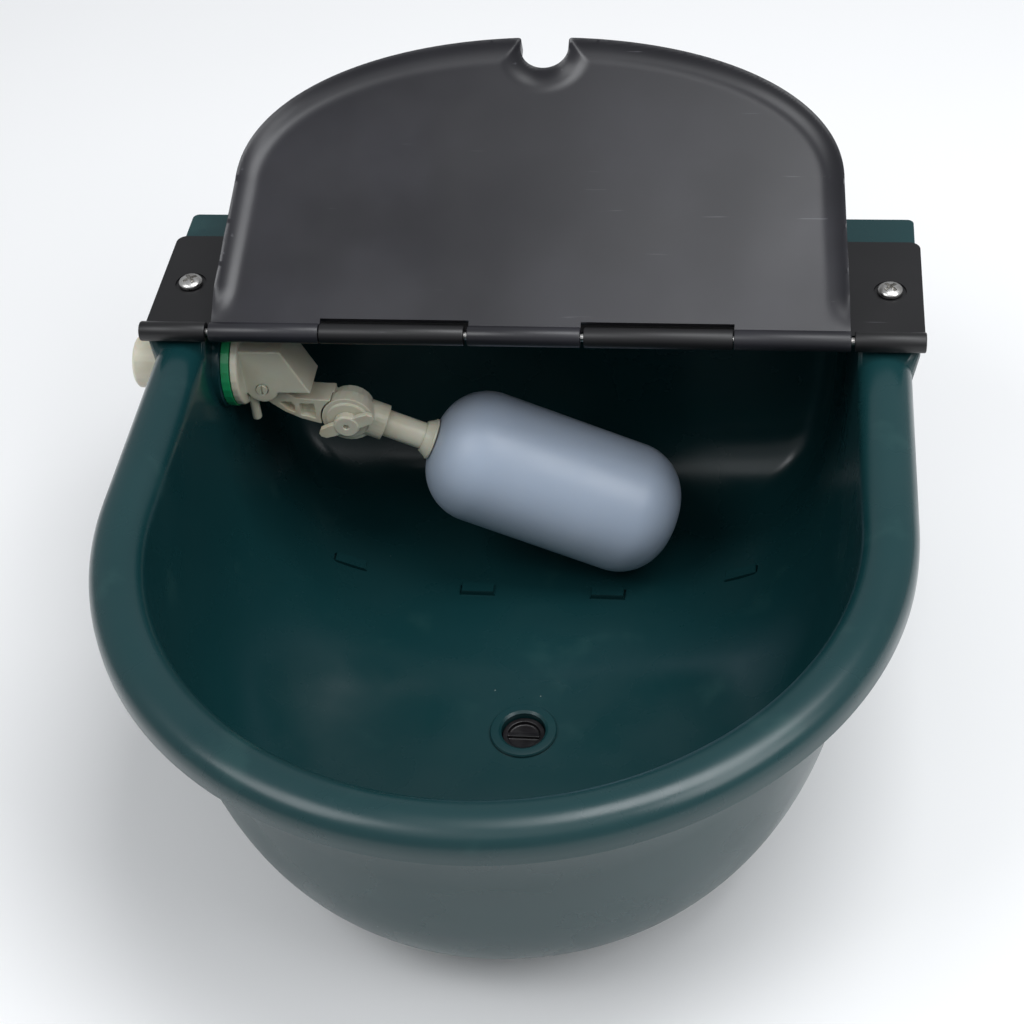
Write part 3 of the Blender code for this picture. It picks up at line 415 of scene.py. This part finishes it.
def bowl_rows(outline, reaches, bottom_z):
    """Rows of points on the bowl's surface. Each reach is a row's share of the way from centre to outline,
    or a function of the profile's exponent that gives it."""
    way = outline - CENTRE
    unit = way / np.linalg.norm(way, axis=1)[:, None]
    end = np.where(unit[:, 1] < 0, FULL_FRONT, FULL_BACK)
    power = FULL_SIDE + (end - FULL_SIDE) * unit[:, 1] ** 2
    lean = LEAN * (1.0 - np.maximum(unit[:, 1], 0.0) ** 2)
    rows = []
    for reach in reaches:
        r = reach(power) if callable(reach) else np.full(len(outline), reach)
        depth = (1.0 - np.minimum(r, 1.0) ** power) ** (1.0 / power)
        flat = CENTRE + way * (r * (1.0 - lean * depth))[:, None]
        rows.append(np.column_stack((flat, CREASE_Z + (bottom_z - CREASE_Z) * depth)))
    return rows


def share(value):
    """A row's reach at an even step of the profile: 0 is the outline and 1 the centre."""
    return lambda power: max(math.cos(value * math.pi / 2), 0.0) ** (2.0 / power)


def rim_rows(inner, outer):
    """Rows over the rolled rim at the front and sides, and over the flat deck behind the hinge."""
    shape = []
    for i in range(25):
        angle = math.pi * i / 24
        shape.append((0.5 - 0.5 * math.cos(angle), CREASE_Z + CROWN * math.sin(angle) ** 0.8, DECK_TOP))
    deck_low = DECK_TOP - DECK_THICK
    width = RIM_HALF - INNER_HALF
    shape += [(1.0, LIP_Z + 0.8, deck_low + 0.8), (1.0 - 0.8 / width, LIP_Z, deck_low)]
    shape += [(1.0 - LIP_THICK / width, LIP_Z, deck_low), (0.80, CREASE_Z + 1.6, deck_low)]
    shape += [(0.50, CREASE_Z + CROWN - LIP_THICK, deck_low), (WALL / width, CREASE_Z - 1.0, deck_low)]
    rows = []
    for part, rim_z, deck_z in shape:
        flat = inner + (outer - inner) * part
        rows.append(np.column_stack((flat, np.where(inner[:, 1] > 0, deck_z, rim_z))))
    return rows


def floor_height(x, y):
    outline = plan_curve(INNER_HALF, INNER_HALF, BACK_Y, BACK_CORNER)
    way = np.array((x, y)) - CENTRE
    out = outline - CENTRE
    near = int(np.argmax(out @ way / np.linalg.norm(out, axis=1)))
    rows = bowl_rows(outline, np.linspace(0.2, 0.99, 400), FLOOR_Z)
    far = np.linalg.norm(way)
    return float(min((row[near] for row in rows), key=lambda p: abs(np.linalg.norm(p[:2] - CENTRE) - far))[2])


def make_bowl():
    inner = plan_curve(INNER_HALF, INNER_HALF, BACK_Y, BACK_CORNER)
    rim = plan_curve(DECK_HALF, RIM_HALF, DECK_BACK_Y, DECK_CORNER)
    outside = INNER_HALF + WALL
    outer = plan_curve(outside, outside, BACK_Y + WALL, BACK_CORNER + WALL)
    under = FLOOR_Z - FLOOR_THICK
    rows = bowl_rows(inner, [share(i / 40) for i in range(39, 0, -1)], FLOOR_Z)
    rows += rim_rows(inner, rim)
    foot = 2 / math.pi * math.acos(FOOT_OUTER ** (FULL_SIDE / 2))
    rows += bowl_rows(outer, [share(foot * i / 34) for i in range(1, 34)], under)
    for reach, level in ((FOOT_OUTER, None), (FOOT_OUTER, FOOT_Z), (FOOT_INNER, FOOT_Z), (FOOT_INNER, None)):
        row = bowl_rows(outer, [reach], under)[0]
        if level is not None:
            row[:, 2] = level
        rows.append(row)
    rows += bowl_rows(outer, [FOOT_INNER * 0.66, FOOT_INNER * 0.33], under)
    bm = bmesh.new()
    rings = [[bm.verts.new(Vector(p) * MM) for p in row] for row in rows]
    for low, high in zip(rings, rings[1:]):
        bridge(bm, low, high)
    for ring, z in ((rings[0], FLOOR_Z), (rings[-1], under)):
        bridge(bm, ring, [bm.verts.new(Vector((CENTRE[0], CENTRE[1], z)) * MM)])
    bmesh.ops.triangulate(bm, faces=[f for f in bm.faces if len(f.verts) > 3])
    bowl = new_object("bowl_shell", bm)
    combine(bowl, "UNION", bowl_additions())
    combine(bowl, "DIFFERENCE", bowl_cuts())
    bowl.data.transform(HINGE)
    piece(bowl, "bowl_assembly", "bowl_green", GREEN, "bowl", angle=38)


def tab_places():
    """Where the four small tabs stand on the floor, each with the side of the bowl that it is on."""
    places = []
    for x, y, tilt in TABS:
        height = floor_height(x, y) + 0.5
        for side in (-1, 1):
            place = Matrix.Translation((side * x * MM, y * MM, height * MM))
            places.append((side, place @ Matrix.Rotation(math.radians(-side * tilt), 4, "Y")))
    return places


def bowl_additions():
    """Floor tabs, drain boss, back fixing pad, the deck's inner ledge, inlet boss and screw posts."""
    joined = []
    for _, place in tab_places():
        right = [(TAB_HALF, -1.5), (TAB_HALF, TAB_TOP - 0.25), (TAB_HALF - 0.25, TAB_TOP)]
        tab = [(-x, z) for x, z in right[:1]] + right + [(-x, z) for x, z in reversed(right[1:])]
        joined.append(prism(tab, -TAB_DEPTH_HALF, TAB_DEPTH_HALF, place))
    ring = [(0.0, -136.4), (13.0, -136.4), (13.0, -129.0), (12.6, -128.5), (12.0, -128.4), (0.0, -128.4)]
    joined.append(turned(ring, 96, DRAIN))
    joined.append(block((-95.0, BACK_Y + WALL / 2, -80.0), (95.0, DECK_BACK_Y, -6.0)))
    ledge = INNER_HALF + 1.0
    joined.append(block((-ledge, 58.0, DECK_TOP - DECK_THICK + 0.05), (ledge, BACK_Y + 1.0, DECK_TOP - 0.05)))
    step = INNER_HALF + WALL / 2
    inside = [(0.0, 119.6), (17.0, 119.6), (17.6, 120.2), (17.6, step)]
    outside = [(15.6, step), (15.6, 127.4), (0.0, 127.4)]
    joined.append(turned(inside + outside, 64, INLET))
    for side in (-1, 1):
        joined.append(rod(5.4, -13.8, DECK_TOP - DECK_THICK / 2, screw_post(side)))
    return joined


def screw_post(side):
    return Matrix.Translation((side * SCREW_X * MM, SCREW_Y * MM, 0.0))


def bowl_cuts():
    """Drain bore, inlet hole, a fine groove beside each tab, screw holes and the two holes for the wall."""
    wide = DRAIN_R + 1.6
    bore = [(0.0, -142.0), (DRAIN_R, -142.0), (DRAIN_R, -129.2), (wide, -127.9), (wide, -120.0)]
    cuts = [turned(bore + [(0.0, -120.0)], 96, DRAIN)]
    cuts.append(rod(10.8, 110.0, 140.0, INLET, 64))
    for side, place in tab_places():
        far = TAB_HALF + 0.7
        cuts.append(block((-far, -3.1, GROOVE_FLOOR), (far, -TAB_DEPTH_HALF, 0.9), place))
        low, high = sorted((side * TAB_HALF, side * far))
        cuts.append(block((low, -2.2, GROOVE_FLOOR), (high, TAB_DEPTH_HALF, 0.9), place))
    for side in (-1, 1):
        cuts.append(rod(2.3, -12.6, DECK_TOP + 5.0, screw_post(side), 32))
        hole = Matrix.Translation((side * WALL_HOLE_X * MM, 0.0, WALL_HOLE_Z * MM)) @ ALONG_Y
        cuts.append(rod(WALL_HOLE_R, BACK_Y - 5.0, DECK_BACK_Y + 5.0, hole))
    return cuts


# ---------------------------------------------------------------- cover plate, hinge and screws

def knuckle(first, last):
    """A hinge knuckle with rounded ends. The pin shows in the wider gaps, at the first and last splits."""
    wide = (SPLITS[0], SPLITS[2])
    low = first + (PIN_SHOWS if abs(first) in wide else SPLIT_GAP) * 0.8
    high = last - (PIN_SHOWS if abs(last) in wide else SPLIT_GAP) * 0.8
    end = [(0.0, 0.0), (HINGE_R - 0.55, 0.0), (HINGE_R - 0.2, 0.12), (HINGE_R, 0.55)]
    profile = [(r, low + h) for r, h in end] + [(r, high - h) for r, h in reversed(end)]
    return turned(profile, 64, ALONG_X)


def make_plate():
    front = HINGE_R + 1.2
    right = [(SPLITS[0] + PIN_SHOWS, front), (SPLITS[0] + PIN_SHOWS, 0.0)]
    right += [(SPLITS[1] - SPLIT_GAP, 0.0), (SPLITS[1] - SPLIT_GAP, front), (SPLITS[2] + PIN_SHOWS, front)]
    right += [(SPLITS[2] + PIN_SHOWS, 0.0), (HINGE_HALF, 0.0)]
    right += arc((HINGE_HALF - 4.0, PLATE_BACK_Y - 4.0), 4.0, 0, 90, 10)
    outline = [(x, -y) for x, y in right + [(-x, y) for x, y in reversed(right)]]
    plate = new_object("hinge_cover_plate", prism(outline, PLATE_BOTTOM, PLATE_TOP, ALONG_Y.inverted()))
    knuckles = []
    for side in (-1, 1):
        for start, end in ((SPLITS[0], SPLITS[1]), (SPLITS[2], HINGE_HALF + 0.16)):
            knuckles.append(knuckle(*sorted((side * start, side * end))))
    combine(plate, "UNION", knuckles)
    cuts = [rod(PIN_BORE_R, -150.0, 150.0, ALONG_X, 24)]
    for side in (-1, 1):
        seat = PLATE_TOP - SCREW_SINK
        sink = [(0.0, -10.0), (2.3, -10.0), (2.3, seat), (6.0, seat), (6.7, 2.0), (0.0, 2.0)]
        cuts.append(turned(sink, 64, screw_post(side)))
    combine(plate, "DIFFERENCE", cuts)
    bevelled(plate, 0.3, 55)
    plate.data.transform(HINGE)
    piece(plate, "bowl_assembly", "lid_black", PLATE_BLACK, "cover_plate")


def make_screws():
    """Pan-head screws with a tapered cross recess."""
    seat = PLATE_TOP - SCREW_SINK + 0.3
    screws = (("plate_screw_left", "screw_left", -1, 38), ("plate_screw_right", "screw_right", 1, 44))
    for name, node, side, spin in screws:
        end = -11.6 - seat
        dome = [(4.70 * math.cos(t), 0.9 + 1.8 * math.sin(t)) for t in np.linspace(0.0, math.pi / 2, 12)[:-1]]
        shank = [(0.0, end), (1.0, end), (2.0, end + 1.5), (2.0, 0.0), (4.4, 0.0), (4.7, 0.3)]
        screw = new_object(name, turned(shank + dome + [(0.0, 2.7)], 64))
        recess = []
        for turn in (0.0, math.pi / 2):
            wedge = [(-3.2, 4.0), (-2.9, 2.2), (-1.3, -0.7), (1.3, -0.7), (2.9, 2.2), (3.2, 4.0)]
            recess.append(prism(wedge, -0.72, 0.72, Matrix.Rotation(turn, 4, "Z")))
        combine(screw, "DIFFERENCE", recess)
        bevelled(screw, 0.08)
        place = Matrix.Translation((side * SCREW_X * MM, SCREW_Y * MM, seat * MM))
        screw.data.transform(HINGE @ place @ Matrix.Rotation(math.radians(spin), 4, "Z"))
        piece(screw, "bowl_assembly", "steel", STEEL, node)


# ---------------------------------------------------------------- lid

def lid_outline():
    """The right half of the lid's outline, from the hinge round to the middle of the thumb notch."""
    width = LID_HALF - LID_NARROWING * LID_STRAIGHT
    right = [(LID_HALF, 4.4), (width, LID_STRAIGHT)]
    rise = LID_LENGTH - LID_STRAIGHT
    for i in range(1, 72):
        angle = math.pi / 2 * i / 72
        x = width * math.cos(angle) ** (2 / LID_ROUNDNESS)
        if x < NOTCH_HALF + 1.4:
            break
        right.append((x, LID_STRAIGHT + rise * math.sin(angle) ** (2 / LID_ROUNDNESS)))
    right += arc((NOTCH_HALF + 1.2, LID_LENGTH - 1.4), 1.2, 80, 180, 6)
    centre = LID_LENGTH - NOTCH_DEPTH + NOTCH_HALF
    right += arc((0.0, centre), NOTCH_HALF, 0, -90, 16)
    return right


def lid_panel():
    """A finely divided slab in the lid's outline. Its front face curves up to a thin edge along the sides,
    the top and the notch, and stays flat at the hinge."""
    half = lid_outline()
    edge = half + [(-x, y) for x, y in reversed(half[:-1])]
    room = HINGE_R + 2.0
    base = [(SPLITS[0] - PIN_SHOWS, 0.0), (SPLITS[0] - PIN_SHOWS, room), (SPLITS[1] + SPLIT_GAP, room)]
    base += [(SPLITS[1] + SPLIT_GAP, 0.0), (LID_HALF, 0.0)]
    whole = base + edge + [(-x, y) for x, y in reversed(base)]
    bm = bmesh.new()
    xs = np.linspace(-122.0, 122.0, 262)
    zs = np.linspace(-1.0, 130.5, 142)
    layers = []
    for y in (-LID_SKIRT, LID_BACK):
        layers.append([[bm.verts.new((x * MM, y * MM, z * MM)) for x in xs] for z in zs])
    for low, high in zip(layers[0], layers[0][1:]):
        for i in range(len(xs) - 1):
            bm.faces.new((low[i], low[i + 1], high[i + 1], high[i]))
    for low, high in zip(layers[1], layers[1][1:]):
        for i in range(len(xs) - 1):
            bm.faces.new((low[i], high[i], high[i + 1], low[i + 1]))
    loops = []
    for layer in layers:
        loop = list(layer[0]) + [row[-1] for row in layer[1:]] + list(layer[-1][:-1])[::-1]
        loops.append(loop + [row[0] for row in layer[-2:0:-1]])
    bridge(bm, loops[0], loops[1])
    slab = new_object("lid_panel", bm)
    combine(slab, "INTERSECT", [prism(whole, -LID_SKIRT - 5.0, LID_BACK + 5.0)])
    raise_skirt(slab, np.array(edge))
    return slab


def raise_skirt(slab, edge):
    co = np.array([v.co for v in slab.data.vertices]) / MM
    front = co[:, 1] < -LID_SKIRT + 0.01
    points = co[front][:, (0, 2)]
    near = np.full(len(points), 1e9)
    for p, q in zip(edge[:-1], edge[1:]):
        along = q - p
        t = np.clip((points - p) @ along / (along @ along), 0.0, 1.0)
        near = np.minimum(near, np.linalg.norm(points - p - t[:, None] * along, axis=1))
    u = np.clip((near - LID_TIP) / (LID_FILLET - LID_TIP), 0.0, 1.0)
    height = (1.0 - u) ** 2.3
    fade = np.clip((points[:, 1] - 3.4) / 15.0, 0.0, 1.0)
    fade = fade * fade * (3 - 2 * fade)
    co[front, 1] = -LID_BACK - (LID_SKIRT - LID_BACK) * height * fade
    slab.data.vertices.foreach_set("co", (co * MM).astype(np.float32).ravel())


def make_lid():
    lid = lid_panel()
    spans = ((-SPLITS[0], SPLITS[0]), (SPLITS[1], SPLITS[2]), (-SPLITS[2], -SPLITS[1]))
    combine(lid, "UNION", [knuckle(start, end) for start, end in spans])
    combine(lid, "DIFFERENCE", [rod(PIN_BORE_R, -150.0, 150.0, ALONG_X, 24)])
    lid.data.transform(HINGE @ Matrix.Rotation(-LID_LEAN, 4, "X"))
    piece(lid, "lid", "lid_black", LID_BLACK, "lid", angle=42)


# ---------------------------------------------------------------- float valve

def make_float():
    corner = FLOAT_CORNER
    far, near = FLOAT_START + FLOAT_LENGTH, FLOAT_START
    straight = FLOAT_LENGTH - 2 * corner
    side = arc((FLOAT_R - corner, far - corner), corner, 90, 0, 24)
    side += [(FLOAT_R, far - corner - straight * i / 12) for i in range(1, 12)]
    side += arc((FLOAT_R - corner, near + corner), corner, 0, -90, 24)
    neck = ROD_R + 0.3
    end = [(neck, near), (neck, near + 3.0), (0.0, near + 3.0)]
    body = new_object("float_body", turned([(0.0, far)] + side + end, 128))
    body.data.transform(ARM)
    piece(body, "float_arm", "float_white", MILKY, "float", angle=50)


def make_arm():
    start, end = 10.2, 42.0
    arm = [(0.0, start), (ROD_R, start), (ROD_R, end - 1.0), (ROD_R - 1.0, end), (0.0, end)]
    bar = new_object("float_arm_rod", turned(arm, 64))
    bar.data.transform(ARM)
    piece(bar, "float_arm", "valve_cream", CREAM, "float_rod")
    bore = ROD_R + 0.25
    cone = [(bore, 31.0), (ROD_R + 0.7, 31.0), (ROD_R + 1.0, 31.4), (7.9, 34.0)]
    lip = [(8.4, 34.3), (8.4, 35.0), (8.2, 35.2), (bore, 35.2)]
    collar = new_object("float_arm_collar", turned(cone + lip, 96))
    collar.data.transform(ARM)
    piece(collar, "float_arm", "valve_cream", CREAM, "float_collar")


def make_valve():
    mouldings = (
        ("valve_moulding", "valve_body", "bowl_assembly", 0.32, 3),
        ("lever_moulding", "lever", "lever", 0.22, 3),
        ("knuckle_moulding", "arm_knuckle", "float_arm", 0.24, 3),
        ("thumb_screw", "wing_screw", "wing_screw", 0.2, 3),
        ("pivot_pin_turned", "pivot_pin", "bowl_assembly", 0.12, 2),
    )
    for name, node, body, voxel, rounds in mouldings:
        piece(moulded(name, node, voxel, rounds), body, "valve_cream", CREAM, node, angle=0)


def make_drain():
    plug = moulded("drain_plug_moulding", "drain_plug", 0.25, 3)
    piece(plug, "drain_plug", "plug_dark", PLUG, "drain_plug", angle=0)


def paint_frame():
    """The CAD nodes that stay as they are get their procedural materials."""
    kept = {
        "hinge_pin": STEEL, "drain_seal": RUBBER, "seal_cup": CREAM, "seal_disc": RUBBER,
        "inlet_washer_inner": WASHER, "inlet_washer_outer": RUBBER, "inlet_strainer": CREAM,
        "lock_nut": CREAM, "knuckle_nut": CREAM,
    }
    for name, material in kept.items():
        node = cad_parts[name]
        node.data.materials.clear()
        node.data.materials.append(material)


# ---------------------------------------------------------------- studio

def make_studio():
    floor_z = CAD_BOX[0][2] - 0.0002
    bm = bmesh.new()
    corners = ((-6.0, -5.0), (6.0, -5.0), (6.0, 8.0), (-6.0, 8.0))
    bm.faces.new([bm.verts.new((x, y, floor_z)) for x, y in corners])
    mesh = bpy.data.meshes.new("studio_floor")
    bm.to_mesh(mesh)
    bm.free()
    floor = bpy.data.objects.new("studio_floor", mesh)
    bpy.context.scene.collection.objects.link(floor)
    pale = Surface("studio_white", (0.93, 0.93, 0.93), 0.9, Specular_IOR_Level=0.1)
    pale.tint(pale.ramp(pale.noise(1.5), 0.3, 0.7), (0.90, 0.90, 0.90))
    floor.data.materials.append(pale.material)
    world = bpy.data.worlds.new("studio")
    bpy.context.scene.world = world
    world.use_nodes = True
    world.node_tree.nodes["Background"].inputs["Color"].default_value = (0.94, 0.965, 1.0, 1.0)
    world.node_tree.nodes["Background"].inputs["Strength"].default_value = 0.38
    softbox("key", (-0.80, -0.60, 1.25), 0.7, 0.7, 7.0)
    softbox("fill", (0.95, -0.60, 1.00), 0.7, 0.7, 6.0)
    softbox("overhead", (0.44, -0.10, 1.45), 0.65, 0.9, 13.0)
    softbox("front", (0.0, -1.60, 2.10), 1.8, 1.2, 4.0)


def softbox(name, place, width, height, power):
    light = bpy.data.lights.new(name, "AREA")
    light.shape = "RECTANGLE"
    light.size, light.size_y, light.energy = width, height, power
    light.color = (0.965, 0.98, 1.0)
    made = bpy.data.objects.new(name, light)
    bpy.context.scene.collection.objects.link(made)
    made.location = place
    made.rotation_euler = (Vector((0.0, -0.12, 0.0)) - Vector(place)).to_track_quat("-Z", "Y").to_euler()


def make_camera():
    pitch, yaw, roll = 0.76464, 0.17653, -0.09645
    ahead = Vector((-math.sin(yaw) * math.cos(pitch), math.cos(yaw) * math.cos(pitch), -math.sin(pitch)))
    across = Vector((math.cos(yaw), math.sin(yaw), 0.0))
    up = across.cross(ahead)
    right = across * math.cos(roll) + up * math.sin(roll)
    above = up * math.cos(roll) - across * math.sin(roll)
    lens = bpy.data.cameras.new("camera")
    lens.lens = 70.3
    lens.sensor_width = 36.0
    camera = bpy.data.objects.new("camera", lens)
    bpy.context.scene.collection.objects.link(camera)
    turn = Matrix((right, above, -ahead)).transposed().to_4x4()
    bpy.context.scene.view_settings.view_transform = "Standard"
    camera.matrix_world = Matrix.Translation((0.09151, -0.65455, 0.50784)) @ turn
    bpy.context.scene.camera = camera


make_camera()
make_studio()
make_bowl()
make_plate()
make_screws()
make_lid()
make_float()
make_arm()
make_valve()
make_drain()
paint_frame()
